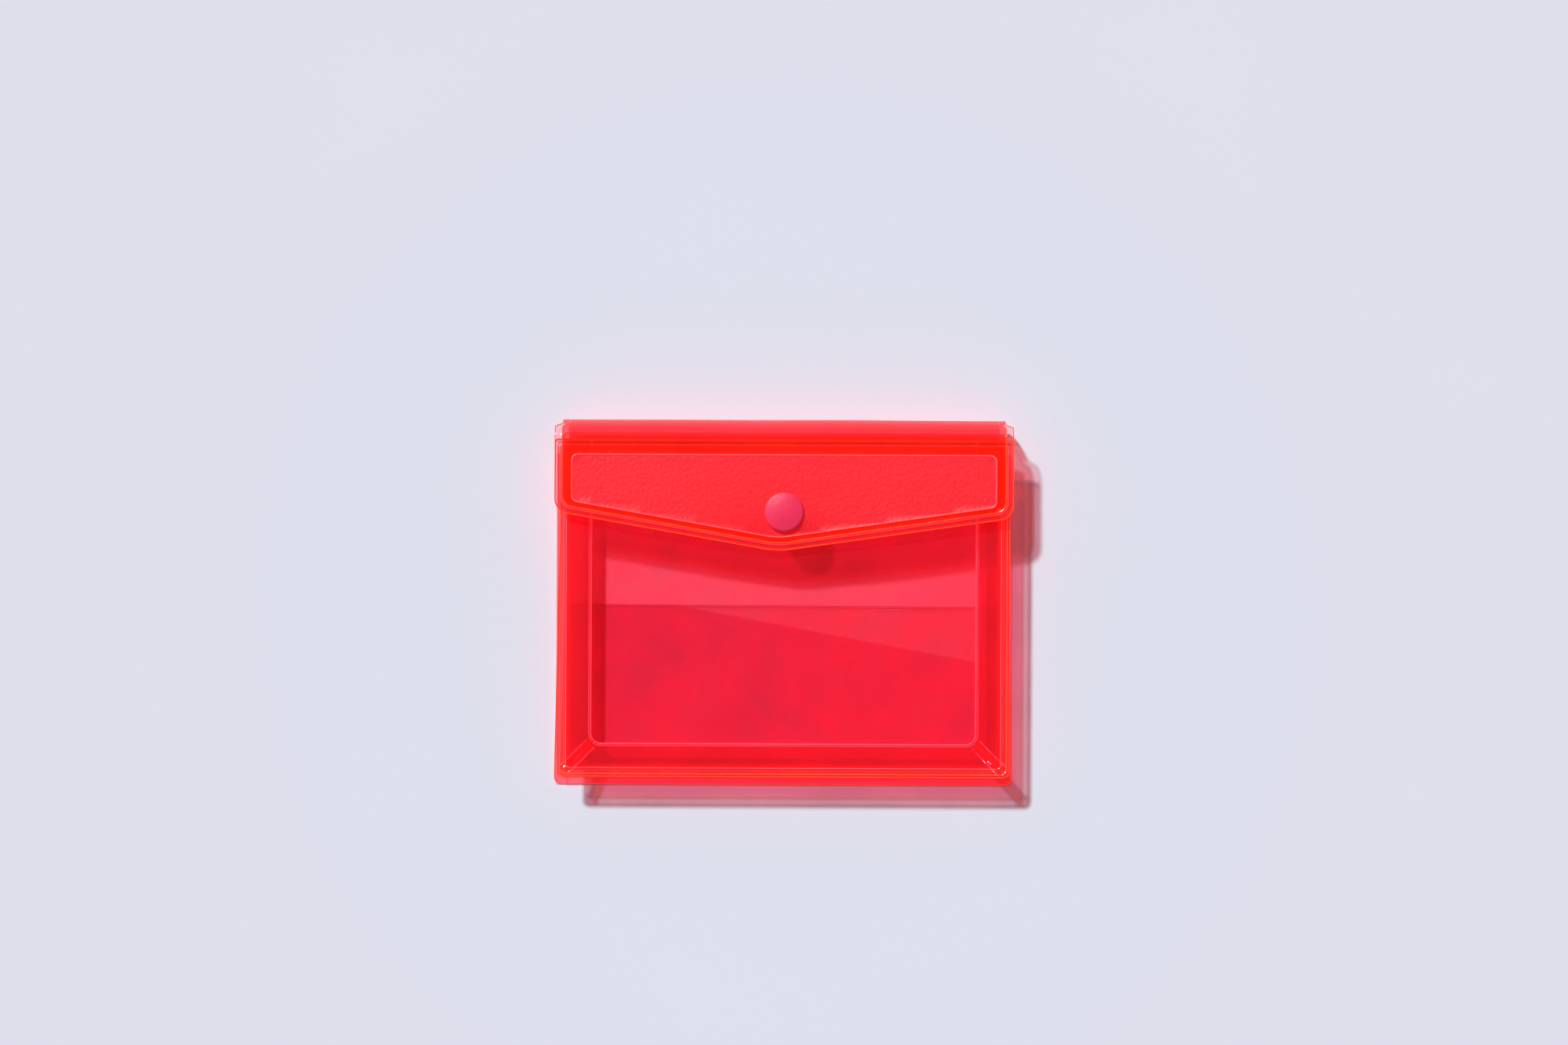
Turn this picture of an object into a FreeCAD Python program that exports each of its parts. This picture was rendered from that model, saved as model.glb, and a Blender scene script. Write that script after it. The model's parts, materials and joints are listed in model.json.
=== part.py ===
import FreeCAD, Part
import math
import os

# Small soft-vinyl envelope case with a bellows gusset, a slip pocket and a
# snap-closed V flap, lying on its back. Millimetres, +X to the right, +Y from
# the bottom edge to the fold of the flap, +Z up from the surface it lies on.
# The origin is the middle of the rectangle that the case covers, at its base.

# Overall
CASE_WIDTH = 146.0
CASE_HEIGHT = 116.4
FLAP_WIDTH = 144.8
FRONT_WIDTH = 143.2

# Sheet thicknesses
PANEL = 0.5
LINING = 0.4
GUSSET = 0.4
POCKET = 0.3

# Bellows gusset: two equal leaves on each side, hinged at the weld to the back
# panel, at the inner fold and at the weld to the front panel
HINGE_X = 69.5
HINGE_Y = -53.0
LEAF_RUN = 8.3
HALF_RISE = 6.45
FOLD_CLEARANCE = 0.1
WELD_CLEARANCE = 0.05
MITRE_GAP = 0.4
GUSSET_TOP_Y = 52.0

# Corner pleats, where the side strips meet the bottom strip
PLEAT_WIDTH = 4.0
PLEAT_START = 1.6

# Panels
BACK_CORNER_RADIUS = 2.3
FRONT_BOTTOM_Y = -54.8
FRONT_TOP_Y = 49.5
FRONT_CORNER_RADIUS = 2.0
POCKET_MOUTH_Y = -0.8

# Flap
FLAP_APEX_Y = 17.2
FLAP_SLOPE_DEG = 10.0
FLAP_CORNER_RADIUS = 3.3
FLAP_APEX_RADIUS = 10.0
LINING_TOP_Y = 52.0

# Four-piece plastic snap. Cap crown: (share of the cap radius, height); back cap crown: (radius, height)
SNAP_Y = 29.1
SNAP_CAP_RADIUS = 6.2
SNAP_CAP_CROWN = ((1.0, 0.0), (1.0, 0.48), (0.96, 0.8), (0.75, 1.23), (0.4, 1.44), (0.0, 1.5))
SNAP_PLATE_RADIUS = 5.2
SNAP_STACK = 3.0
STUD_PLATE = 0.7
STUD_RADIUS = 1.8
STUD_HEAD_RADIUS = 2.0
STUD_HEIGHT = 1.7
SOCKET_LIFT = 0.15
STUD_HEAD_DROP = 0.5
STUD_NECK_DROP = 0.8
STUD_TIP_RADIUS = 1.6
SOCKET_BORE_RADIUS = 2.4
SOCKET_MOUTH_RADIUS = 4.0
SOCKET_WALL_RADIUS = 4.3
SOCKET_RIM = 0.6
SOCKET_RIM_ROOT = 0.7
POST_RADIUS = 1.3
BACK_CAP_HEIGHT = 1.2
BACK_CAP_CROWN = ((0.0, 0.0), (5.2, 0.2), (6.014, 0.5), (SNAP_CAP_RADIUS, 0.8))

# Heights of the hinge lines and faces, worked out from the above
LEAF_LENGTH = math.hypot(LEAF_RUN, HALF_RISE)
LEAF_ANGLE = math.degrees(math.atan2(HALF_RISE, LEAF_RUN))
LOWER_HINGE_Z = PANEL + POCKET + FOLD_CLEARANCE + GUSSET
UPPER_HINGE_Z = LOWER_HINGE_Z + 2 * HALF_RISE
FRONT_Z = UPPER_HINGE_Z + GUSSET + WELD_CLEARANCE
FRONT_TOP_Z = FRONT_Z + PANEL
FLAP_Z = FRONT_TOP_Z + SNAP_STACK + LINING
FLAP_TOP_Z = FLAP_Z + PANEL
BACK_BOTTOM_Y = -CASE_HEIGHT / 2
SPINE_OUTER_Y = CASE_HEIGHT / 2
SPINE_INNER_Y = SPINE_OUTER_Y - PANEL

SAME_POINT = 1e-6
UP = FreeCAD.Vector(0, 0, 1)
ALONG_X = FreeCAD.Vector(1, 0, 0)
ALONG_Y = FreeCAD.Vector(0, 1, 0)


def outline(corners):
    """Closed wire in the XY plane through (x, y, radius) corners, rounded where radius > 0."""
    points = [FreeCAD.Vector(x, y, 0) for x, y, _ in corners]
    radii = [radius for _, _, radius in corners]
    starts, ends, middles = [], [], []
    for i, corner in enumerate(points):
        back = (points[i - 1] - corner).normalize()
        ahead = (points[(i + 1) % len(points)] - corner).normalize()
        half_angle = back.getAngle(ahead) / 2
        reach = radii[i] / math.tan(half_angle)
        starts.append(corner + back * reach)
        ends.append(corner + ahead * reach)
        inward = (back + ahead).normalize()
        middles.append(corner + inward * (radii[i] / math.sin(half_angle) - radii[i]))
    edges = []
    for i, radius in enumerate(radii):
        if radius > 0:
            edges.append(Part.Arc(starts[i], middles[i], ends[i]).toShape())
        following = starts[(i + 1) % len(starts)]
        if (following - ends[i]).Length > SAME_POINT:
            edges.append(Part.LineSegment(ends[i], following).toShape())
    return Part.Wire(edges)


def plate(corners, z, thickness):
    """Flat sheet with the given outline, from z to z + thickness."""
    sheet = Part.Face(outline(corners)).extrude(UP * thickness)
    sheet.translate(UP * z)
    return sheet


def block(x0, x1, y0, y1, z0, z1):
    """Box between two corners."""
    low = FreeCAD.Vector(x0, y0, z0)
    return Part.makeBox(x1 - x0, y1 - y0, z1 - z0, low)


def turned(profile, y):
    """Solid of revolution about the vertical axis through (0, y) from (radius, z) points."""
    points = [FreeCAD.Vector(radius, 0, z) for radius, z in profile]
    face = Part.Face(Part.makePolygon(points + points[:1]))
    solid = face.revolve(FreeCAD.Vector(), UP, 360)
    solid.translate(ALONG_Y * y)
    return solid


def post_hole(z, thickness):
    """Hole for a snap post through a sheet."""
    base = FreeCAD.Vector(0, SNAP_Y, z)
    return Part.makeCylinder(POST_RADIUS, thickness, base)


def back_panel():
    """Back sheet, up to the lower fold of the spine."""
    half = CASE_WIDTH / 2
    corners = [
        (-half, BACK_BOTTOM_Y, BACK_CORNER_RADIUS),
        (half, BACK_BOTTOM_Y, BACK_CORNER_RADIUS),
        (half, SPINE_INNER_Y, 0),
        (-half, SPINE_INNER_Y, 0),
    ]
    return plate(corners, 0, PANEL)


def slip_pocket():
    """Half-height inner sheet that makes a flat pocket against the back panel."""
    return block(-HINGE_X, HINGE_X, HINGE_Y, POCKET_MOUTH_Y, PANEL, PANEL + POCKET)


def spine_panel():
    """Top wall between the two folds of the back sheet."""
    half = FLAP_WIDTH / 2
    return block(-half, half, SPINE_INNER_Y, SPINE_OUTER_Y, PANEL, FLAP_Z)


def flap_sheet(top_y, z, thickness):
    """One sheet of the flap: straight sides and a shallow V edge with a rounded point."""
    half = FLAP_WIDTH / 2
    side_y = FLAP_APEX_Y + half * math.tan(math.radians(FLAP_SLOPE_DEG))
    corners = [
        (-half, top_y, 0),
        (-half, side_y, FLAP_CORNER_RADIUS),
        (0, FLAP_APEX_Y, FLAP_APEX_RADIUS),
        (half, side_y, FLAP_CORNER_RADIUS),
        (half, top_y, 0),
    ]
    return plate(corners, z, thickness).cut(post_hole(z, thickness))


def front_panel():
    """Front sheet, with a free top edge at the mouth."""
    half = FRONT_WIDTH / 2
    corners = [
        (-half, FRONT_BOTTOM_Y, FRONT_CORNER_RADIUS),
        (half, FRONT_BOTTOM_Y, FRONT_CORNER_RADIUS),
        (half, FRONT_TOP_Y, FRONT_CORNER_RADIUS),
        (-half, FRONT_TOP_Y, FRONT_CORNER_RADIUS),
    ]
    return plate(corners, FRONT_Z, PANEL).cut(post_hole(FRONT_Z, PANEL))


def side_leaf(side, upper):
    """Leaf of a side strip (side is +1 right, -1 left), mitred at the bottom corner."""
    hinge = side * HINGE_X
    fold = side * (HINGE_X - LEAF_LENGTH)
    corners = [
        (hinge, HINGE_Y + MITRE_GAP, 0),
        (hinge, GUSSET_TOP_Y, 0),
        (fold, GUSSET_TOP_Y, 0),
        (fold, HINGE_Y + LEAF_LENGTH + MITRE_GAP, 0),
    ]
    leaf = plate(corners, 0 if upper else -GUSSET, GUSSET)
    tilt = -side * LEAF_ANGLE if upper else side * LEAF_ANGLE
    leaf.rotate(FreeCAD.Vector(hinge, 0, 0), ALONG_Y, tilt)
    leaf.translate(UP * (UPPER_HINGE_Z if upper else LOWER_HINGE_Z))
    return leaf


def bottom_leaf(upper):
    """Leaf of the bottom strip, mitred at both corners."""
    fold = HINGE_Y + LEAF_LENGTH
    hinge_half = HINGE_X - MITRE_GAP
    fold_half = HINGE_X - LEAF_LENGTH - MITRE_GAP
    corners = [
        (-hinge_half, HINGE_Y, 0),
        (hinge_half, HINGE_Y, 0),
        (fold_half, fold, 0),
        (-fold_half, fold, 0),
    ]
    leaf = plate(corners, 0 if upper else -GUSSET, GUSSET)
    tilt = -LEAF_ANGLE if upper else LEAF_ANGLE
    leaf.rotate(FreeCAD.Vector(0, HINGE_Y, 0), ALONG_X, tilt)
    leaf.translate(UP * (UPPER_HINGE_Z if upper else LOWER_HINGE_Z))
    return leaf


def side_flange(side, upper):
    """Outer margin of a side strip, welded to the front or back panel."""
    outer = (FRONT_WIDTH if upper else CASE_WIDTH) / 2
    bottom = FRONT_BOTTOM_Y if upper else BACK_BOTTOM_Y
    radius = FRONT_CORNER_RADIUS if upper else BACK_CORNER_RADIUS
    inner = HINGE_X + WELD_CLEARANCE
    top = min(GUSSET_TOP_Y, FRONT_TOP_Y - FRONT_CORNER_RADIUS)
    corners = [
        (side * inner, bottom, 0),
        (side * outer, bottom, radius),
        (side * outer, top, 0),
        (side * inner, top, 0),
    ]
    return plate(corners, FRONT_Z - GUSSET if upper else PANEL, GUSSET)


def bottom_flange(upper):
    """Outer margin of the bottom strip, between the two side flanges."""
    bottom = FRONT_BOTTOM_Y if upper else BACK_BOTTOM_Y
    z = FRONT_Z - GUSSET if upper else PANEL
    top = HINGE_Y - WELD_CLEARANCE
    return block(-HINGE_X, HINGE_X, bottom, top, z, z + GUSSET)


def corner_pleat(side):
    """V-shaped weld strip along the mitre of a bottom corner, inside the bellows."""
    slope = HALF_RISE / (LEAF_RUN * math.sqrt(2))
    middle = LOWER_HINGE_Z + HALF_RISE
    outer_end = (HALF_RISE - FOLD_CLEARANCE) / slope
    inner_end = outer_end - GUSSET / slope
    outer_half = (outer_end - PLEAT_START) * slope
    inner_half = (inner_end - PLEAT_START) * slope
    profile = [
        (PLEAT_START, middle - outer_half),
        (outer_end, middle),
        (PLEAT_START, middle + outer_half),
        (PLEAT_START, middle + inner_half),
        (inner_end, middle),
        (PLEAT_START, middle - inner_half),
    ]
    points = [FreeCAD.Vector(reach, -PLEAT_WIDTH / 2, z) for reach, z in profile]
    strip = Part.Face(Part.makePolygon(points + points[:1])).extrude(ALONG_Y * PLEAT_WIDTH)
    strip.rotate(FreeCAD.Vector(), UP, 135 if side > 0 else 45)
    strip.translate(FreeCAD.Vector(side * HINGE_X, HINGE_Y, 0))
    return strip


def snap_cap():
    """Domed outer cap of the snap, with its post through the flap."""
    post_end = FLAP_Z - LINING
    dome = [(SNAP_CAP_RADIUS * share, FLAP_TOP_Z + height) for share, height in SNAP_CAP_CROWN]
    post = [(0, post_end), (POST_RADIUS, post_end), (POST_RADIUS, FLAP_TOP_Z)]
    return turned(post + dome, SNAP_Y)


def snap_socket():
    """Socket ring under the flap, open downwards for the stud."""
    low = FRONT_TOP_Z + STUD_PLATE + SOCKET_LIFT
    high = FLAP_Z - LINING
    profile = [
        (SOCKET_BORE_RADIUS, low),
        (SOCKET_MOUTH_RADIUS, low),
        (SOCKET_WALL_RADIUS, high - SOCKET_RIM_ROOT),
        (SNAP_PLATE_RADIUS, high - SOCKET_RIM),
        (SNAP_PLATE_RADIUS, high),
        (SOCKET_BORE_RADIUS, high),
    ]
    return turned(profile, SNAP_Y)


def snap_stud():
    """Stud on the front panel: a plate and a short headed post."""
    low = FRONT_TOP_Z
    top = low + STUD_PLATE + STUD_HEIGHT
    profile = [
        (0, low),
        (SNAP_PLATE_RADIUS, low),
        (SNAP_PLATE_RADIUS, low + STUD_PLATE),
        (STUD_RADIUS, low + STUD_PLATE),
        (STUD_RADIUS, top - STUD_NECK_DROP),
        (STUD_HEAD_RADIUS, top - STUD_HEAD_DROP),
        (STUD_TIP_RADIUS, top),
        (0, top),
    ]
    return turned(profile, SNAP_Y)


def snap_back_cap():
    """Inner cap that carries the stud's rivet post through the front panel."""
    low = FRONT_Z - BACK_CAP_HEIGHT
    crown = [(radius, low + height) for radius, height in BACK_CAP_CROWN]
    rim_and_post = [
        (SNAP_CAP_RADIUS, FRONT_Z),
        (POST_RADIUS, FRONT_Z),
        (POST_RADIUS, FRONT_TOP_Z),
        (0, FRONT_TOP_Z),
    ]
    return turned(crown + rim_and_post, SNAP_Y)


def all_nodes():
    """Every sub-part by name."""
    nodes = {
        "back_panel": back_panel(),
        "slip_pocket": slip_pocket(),
        "spine_panel": spine_panel(),
        "flap_outer_sheet": flap_sheet(SPINE_INNER_Y, FLAP_Z, PANEL),
        "flap_lining": flap_sheet(LINING_TOP_Y, FLAP_Z - LINING, LINING),
        "front_panel": front_panel(),
        "snap_cap": snap_cap(),
        "snap_socket": snap_socket(),
        "snap_stud": snap_stud(),
        "snap_back_cap": snap_back_cap(),
        "bottom_gusset_lower_leaf": bottom_leaf(False),
        "bottom_gusset_upper_leaf": bottom_leaf(True),
        "bottom_gusset_lower_flange": bottom_flange(False),
        "bottom_gusset_upper_flange": bottom_flange(True),
    }
    for name, side in (("left", -1), ("right", 1)):
        nodes[name + "_gusset_lower_leaf"] = side_leaf(side, False)
        nodes[name + "_gusset_upper_leaf"] = side_leaf(side, True)
        nodes[name + "_gusset_lower_flange"] = side_flange(side, False)
        nodes[name + "_gusset_upper_flange"] = side_flange(side, True)
        nodes[name + "_corner_pleat"] = corner_pleat(side)
    return nodes


os.makedirs("parts", exist_ok=True)
for name, shape in all_nodes().items():
    shape.exportStep("parts/" + name + ".step")
    box = shape.BoundBox
    print(
        f"{name:28s} valid={shape.isValid()} solids={len(shape.Solids)} volume={shape.Volume:9.2f}"
        f" x {box.XMin:7.2f} {box.XMax:7.2f} y {box.YMin:7.2f} {box.YMax:7.2f}"
        f" z {box.ZMin:6.2f} {box.ZMax:6.2f}"
    )
print(f"leaf length {LEAF_LENGTH:.4f} angle {LEAF_ANGLE:.3f} degrees")
print(f"lower hinge z {LOWER_HINGE_Z:.3f} upper hinge z {UPPER_HINGE_Z:.3f}")
print(f"spine fold y {SPINE_INNER_Y:.3f} z {PANEL:.3f}, flap fold z {FLAP_Z:.3f}")
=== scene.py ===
"""Looks of a small neon vinyl envelope case: welded sheets, bellows gusset, slip pocket and press snap."""
import json
import math

import bmesh
import bpy
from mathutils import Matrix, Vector, noise


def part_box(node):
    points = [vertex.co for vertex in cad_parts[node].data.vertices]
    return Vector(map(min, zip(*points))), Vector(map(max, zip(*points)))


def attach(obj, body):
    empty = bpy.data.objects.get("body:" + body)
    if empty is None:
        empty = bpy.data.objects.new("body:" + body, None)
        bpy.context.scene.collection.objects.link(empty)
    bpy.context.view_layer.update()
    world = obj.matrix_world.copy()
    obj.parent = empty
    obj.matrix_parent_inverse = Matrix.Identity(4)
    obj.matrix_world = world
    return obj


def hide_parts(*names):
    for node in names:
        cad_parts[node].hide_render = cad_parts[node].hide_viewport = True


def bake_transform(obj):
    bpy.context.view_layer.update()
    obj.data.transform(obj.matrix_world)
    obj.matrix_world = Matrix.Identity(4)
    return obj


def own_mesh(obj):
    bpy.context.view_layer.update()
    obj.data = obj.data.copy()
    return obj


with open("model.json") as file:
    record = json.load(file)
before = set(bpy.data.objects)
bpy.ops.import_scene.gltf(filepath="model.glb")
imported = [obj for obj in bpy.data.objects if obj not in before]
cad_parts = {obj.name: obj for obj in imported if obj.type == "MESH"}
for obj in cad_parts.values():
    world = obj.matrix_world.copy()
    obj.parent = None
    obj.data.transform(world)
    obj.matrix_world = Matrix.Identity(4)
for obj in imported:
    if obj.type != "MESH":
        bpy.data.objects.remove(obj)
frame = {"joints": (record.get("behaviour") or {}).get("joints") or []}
bpy.context.view_layer.update()

MM = 0.001
UP = Vector((0, 0, 1))

# Places of hinge lines and sheets, from the frame
HINGES = {joint["name"]: Vector(joint["pos_m"]) for joint in frame["joints"]}
LOWER_HINGE = HINGES["gusset_fold"]
INNER_FOLD = HINGES["right_inner_fold"]
UPPER_HINGE = HINGES["right_front_fold"]
BOTTOM_HINGE_Y = HINGES["bottom_back_fold"].y
LEAF_RUN = LOWER_HINGE.x - INNER_FOLD.x
HALF_RISE = INNER_FOLD.z - LOWER_HINGE.z
LEAF_LENGTH = math.hypot(LEAF_RUN, HALF_RISE)
BACK_LOW, BACK_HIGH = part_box("back_panel")
FRONT_LOW, FRONT_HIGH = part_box("front_panel")
POCKET_LOW, POCKET_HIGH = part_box("slip_pocket")
FLAP_LOW, FLAP_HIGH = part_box("flap_outer_sheet")
LINING_LOW, LINING_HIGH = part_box("flap_lining")
SPINE_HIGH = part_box("spine_panel")[1]
CAP_LOW, CAP_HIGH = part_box("snap_cap")
SNAP_Y = (CAP_LOW.y + CAP_HIGH.y) / 2
SHEET = BACK_HIGH.z - BACK_LOW.z
FILM = LINING_HIGH.z - LINING_LOW.z
AIR = 0.02 * MM
# Points nearer to each other than this are in line
HAIR = 0.01 * MM

# Where the one long sheet leaves the flat and rounds over the top
ROUND_REACH = 5.9 * MM
ROUND_START_Y = SPINE_HIGH.y - ROUND_REACH
FLAP_TOP_AT_FOLD = FLAP_HIGH.z + 0.1 * MM
MID_SPINE_Z = FLAP_TOP_AT_FOLD / 2
ROUND_STEPS = 14
SPINE_HALF_WIDTH = 70.1 * MM
SHOULDER_LOW_Y = 56.1 * MM
SHOULDER_HIGH_Y = 56.9 * MM

# How sheets are made: outlines run this far past the line where they are cut, corners take this many
# steps, and the flat is cut into squares that let it bend, smaller ones where it crumples
PAST_CUT = 20 * MM
CORNER_STEPS = 8
SLICE = 3 * MM
FINE_SLICE = 0.45 * MM

# Welded margins: a rounded lip, and a raised bead
LIP = 0.2 * MM
LIP_DROP = 0.10 * MM
BEAD_HALF = 0.22 * MM
BEAD_RISE = 0.14 * MM

# Outline of the flap, a little askew: its point is off the middle and its right half slopes less
FLAP_POINT_X = -2.0 * MM
FLAP_POINT_Y = FLAP_LOW.y - 0.77 * MM
FLAP_POINT_RADIUS = 25 * MM
FLAP_CORNER_RADIUS = 4.6 * MM
LEFT_V_SLOPE = 0.176
RIGHT_V_SLOPE = 0.144
V_ANGLE = math.radians(10)
WINDOW_TOP_Y = 47.2 * MM

# The slip pocket clings to the back sheet below this slanting line
CLING_POINT = Vector((0, -7.2 * MM, 0))
CLING_DOWNWARDS = Vector((-0.18, -0.98, 0))

# Bellows: edge rib and second rib along the inner fold, painted highlight on a stretch beside the hinge,
# mitred ends
EDGE_RIB = 0.35 * MM
SECOND_RIB = 1.0 * MM
HINGE_PAINTED_HIGHLIGHT = 1.8 * MM
MITRE_GAP = 0.2 * MM
FOLD_CORNER_RADIUS = 3.2 * MM
PLEAT_HALF_WIDTH = 1.9 * MM

# Press snap, shared by its four parts
POST_RADIUS = 1.3 * MM

# Slots of every sheet: free field, thinned margin, fused band (also a painted highlight beside the gusset
# hinges), raised bead and light line (each with a painted highlight), dark line (painted shade), stretch seen
# on its edge round a fold, and cut edge (painted light, and painted shade on the slip pocket)
FIELD, MARGIN, FUSED_BAND_AND_PAINTED_HIGHLIGHT, BEAD, LINE, DARK, FOLDED, EDGE = range(8)
# On the slip pocket the second slot is the part that clings
CLINGING = MARGIN


# ---------------------------------------------------------------- finishes

def node(tree, kind, **inputs):
    """A shader node with constant values on the sockets that are named."""
    made = tree.nodes.new(kind)
    for name, value in inputs.items():
        made.inputs[name.replace("_", " ")].default_value = value
    return made


def object_noise(tree, scale, detail):
    """Soft cloudy noise that stays with the piece. Scale is in features per metre."""
    place = tree.nodes.new("ShaderNodeTexCoord")
    cloud = node(tree, "ShaderNodeTexNoise", Scale=scale, Detail=detail, Roughness=0.55)
    tree.links.new(place.outputs["Object"], cloud.inputs["Vector"])
    return cloud


def two_tone(tree, blotches, colour, darker):
    """A colour that drifts towards a darker one in soft blotches."""
    tint = tree.nodes.new("ShaderNodeMix")
    tint.data_type = "RGBA"
    tint.inputs["A"].default_value = (*colour, 1)
    tint.inputs["B"].default_value = (*darker, 1)
    tree.links.new(blotches.outputs["Fac"], tint.inputs["Factor"])
    return tint.outputs["Result"]


def new_material(name):
    """A new node material of this name, and its node tree."""
    material = bpy.data.materials.new(name)
    material.use_nodes = True
    return material, material.node_tree


def remap(tree, source, low, high, from_low=0.3, from_high=0.7):
    """A grey output, stretched from its own range to low up to high."""
    ranged = node(tree, "ShaderNodeMapRange", From_Min=from_low, From_Max=from_high,
                  To_Min=low, To_Max=high)
    tree.links.new(source, ranged.inputs["Value"])
    return ranged.outputs["Result"]


def sheen_share(tree, straight_on, glancing, normal):
    """Share of mirror gloss on a thin sheet: a little straight on, more at a glance, alike on both faces."""
    facing = node(tree, "ShaderNodeLayerWeight", Blend=0.5)
    tree.links.new(normal, facing.inputs["Normal"])
    late_rise = tree.nodes.new("ShaderNodeMath")
    late_rise.operation = "POWER"
    late_rise.inputs[1].default_value = 4.0
    tree.links.new(facing.outputs["Facing"], late_rise.inputs[0])
    return remap(tree, late_rise.outputs[0], straight_on, glancing, 0.0, 1.0)


def vinyl(name, passes, body, milk, milk_spread, painted_glow, painted_glow_strength, gloss_rough, ripple, ripple_scale,
          milk_scale=70.0, gloss=0.04):
    """Dyed see-through PVC.

    passes is what one face lets through, milk the share that scatters in the body colour instead, and
    glow a constant emission in place of the dye's fluorescence: painted light, shining in shade as well.
    gloss is the mirror share straight on, and ripple the unevenness.
    """
    material, tree = new_material(name)
    tree.nodes.clear()
    out = tree.nodes.new("ShaderNodeOutputMaterial")

    cloud = object_noise(tree, milk_scale, detail=4.0)
    waves = object_noise(tree, ripple_scale, detail=2.0)
    bump = node(tree, "ShaderNodeBump", Strength=ripple, Distance=0.4 * MM)
    tree.links.new(waves.outputs["Fac"], bump.inputs["Height"])

    clear = node(tree, "ShaderNodeBsdfTransparent", Color=(*passes, 1))
    milky = node(tree, "ShaderNodeBsdfPrincipled", Roughness=0.5, IOR=1.45)
    milky.inputs["Specular IOR Level"].default_value = 0.2
    # The emission is painted light: it is constant, so the sheet shines in shade as well
    milky.inputs["Emission Color"].default_value = (*painted_glow, 1)
    milky.inputs["Emission Strength"].default_value = painted_glow_strength
    tint = two_tone(tree, cloud, body, [channel * 0.85 for channel in body])
    tree.links.new(tint, milky.inputs["Base Color"])
    tree.links.new(bump.outputs["Normal"], milky.inputs["Normal"])

    haze = tree.nodes.new("ShaderNodeMixShader")
    share = remap(tree, cloud.outputs["Fac"], milk * (1 - milk_spread), milk * (1 + milk_spread))
    tree.links.new(share, haze.inputs["Fac"])
    tree.links.new(clear.outputs["BSDF"], haze.inputs[1])
    tree.links.new(milky.outputs["BSDF"], haze.inputs[2])

    mirror = node(tree, "ShaderNodeBsdfAnisotropic", Color=(1, 1, 1, 1), Roughness=gloss_rough)
    tree.links.new(bump.outputs["Normal"], mirror.inputs["Normal"])
    skin = tree.nodes.new("ShaderNodeMixShader")
    tree.links.new(sheen_share(tree, gloss, 0.4, bump.outputs["Normal"]), skin.inputs["Fac"])
    tree.links.new(haze.outputs["Shader"], skin.inputs[1])
    tree.links.new(mirror.outputs["BSDF"], skin.inputs[2])
    tree.links.new(skin.outputs["Shader"], out.inputs["Surface"])
    material.cycles.emission_sampling = "NONE"
    return material


def moulded_plastic(name, colour, painted_glow, painted_glow_strength, grain_strength):
    """Pink moulded plastic with a fine spark-eroded grain, and a faint constant emission that is painted
    light.
    """
    material, tree = new_material(name)
    surface = tree.nodes["Principled BSDF"]
    surface.inputs["IOR"].default_value = 1.48
    surface.inputs["Emission Color"].default_value = (*painted_glow, 1)
    surface.inputs["Emission Strength"].default_value = painted_glow_strength
    cloud = object_noise(tree, 320.0, detail=3.0)
    grain = object_noise(tree, 3600.0, detail=2.0)
    tint = two_tone(tree, cloud, colour, [channel * 0.82 for channel in colour])
    tree.links.new(tint, surface.inputs["Base Color"])
    tree.links.new(remap(tree, grain.outputs["Fac"], 0.22, 0.5), surface.inputs["Roughness"])
    bump = node(tree, "ShaderNodeBump", Strength=grain_strength, Distance=0.08 * MM)
    tree.links.new(grain.outputs["Fac"], bump.inputs["Height"])
    tree.links.new(bump.outputs["Normal"], surface.inputs["Normal"])
    return material


def per_face(red, green, blue):
    """What one face passes when the whole sheet, two faces, passes this much."""
    return math.sqrt(red), math.sqrt(green), math.sqrt(blue)


CLEAR = vinyl(
    "clear_neon_vinyl", per_face(1.29, 0.70, 0.88), body=(1.2, 0.02, 0.04), milk=0.080, milk_spread=0.5,
    painted_glow=(1.0, 0.006, 0.02), painted_glow_strength=0.35, gloss_rough=0.14, ripple=0.12, ripple_scale=90.0,
    milk_scale=28.0)
BACK_CLEAR = vinyl(
    "back_neon_vinyl", per_face(0.80, 0.56, 0.56), body=(2.2, 0.02, 0.04), milk=0.050, milk_spread=0.4,
    painted_glow=(1.0, 0.006, 0.02), painted_glow_strength=0.35, gloss_rough=0.14, ripple=0.10, ripple_scale=90.0)
POCKET_FILM = vinyl(
    "slip_pocket_film", per_face(0.97, 0.80, 0.84), body=(1.0, 0.03, 0.07), milk=0.02, milk_spread=0.6,
    painted_glow=(1.0, 0.02, 0.05), painted_glow_strength=0.3, gloss_rough=0.16, ripple=0.2, ripple_scale=60.0)
POCKET_CLING = vinyl(
    "clinging_pocket_film", per_face(0.94, 0.52, 0.68), body=(1.0, 0.03, 0.07), milk=0.02, milk_spread=0.6,
    painted_glow=(1.0, 0.02, 0.05), painted_glow_strength=0.3, gloss_rough=0.16, ripple=0.2, ripple_scale=60.0)
SATIN = vinyl(
    "satin_flap_vinyl", per_face(0.92, 0.27, 0.42), body=(1.35, 0.10, 0.13), milk=0.13, milk_spread=0.4,
    painted_glow=(1.0, 0.02, 0.05), painted_glow_strength=0.35, gloss_rough=0.38, ripple=0.3, ripple_scale=900.0,
    milk_scale=900.0)
GUSSET = vinyl(
    "gusset_vinyl", per_face(0.99, 0.24, 0.36), body=(0.70, 0.004, 0.004), milk=0.06, milk_spread=0.3,
    painted_glow=(1.0, 0.006, 0.004), painted_glow_strength=0.25, gloss_rough=0.10, ripple=0.25, ripple_scale=120.0,
    gloss=0.05)
THINNED = vinyl(
    "thinned_margin_vinyl", per_face(1.08, 0.74, 0.80), body=(1.2, 0.10, 0.12), milk=0.05, milk_spread=0.2,
    painted_glow=(1.0, 0.04, 0.05), painted_glow_strength=0.4, gloss_rough=0.14, ripple=0.2, ripple_scale=500.0)
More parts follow.
